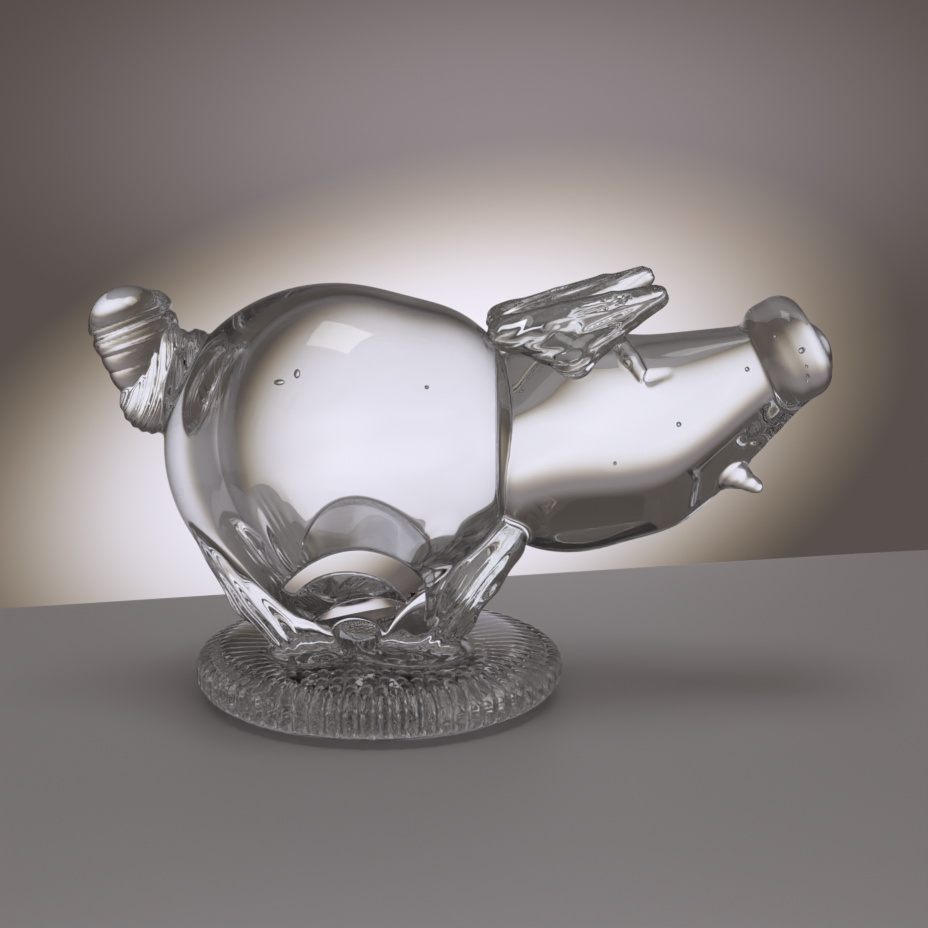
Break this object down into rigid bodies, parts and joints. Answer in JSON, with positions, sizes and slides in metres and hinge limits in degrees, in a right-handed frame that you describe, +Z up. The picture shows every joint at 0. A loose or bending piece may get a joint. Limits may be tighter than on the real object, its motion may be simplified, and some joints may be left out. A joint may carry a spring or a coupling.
{
  "type": "glass figurine",
  "caption": "Clear hot-worked glass pig with a blown body, solid head and pressed oval foot, to stand on a shelf.",
  "frame": {"origin": "centre of the foot's flat underside", "axes": "+Z up, +X towards the snout, +Y towards the pig's left side"},
  "size_m": [0.1717, 0.078, 0.1015],
  "materials": {
    "blown_glass": "gloss",
    "solid_glass": "gloss",
    "pressed_glass": "gloss"
  },
  "bodies": {
    "root": {"pad_foot": "pressed_glass", "body_shell": "blown_glass", "head": "solid_glass", "snout_disc": "solid_glass", "chin_peg": "solid_glass", "ear_left": "solid_glass", "ear_right": "solid_glass", "hind_leg_left": "solid_glass", "hind_leg_right": "solid_glass", "front_leg_left": "solid_glass", "front_leg_right": "solid_glass", "tail_root": "solid_glass", "tail_wrap": "solid_glass", "tail_curl": "solid_glass"}
  },
  "joints": []
}
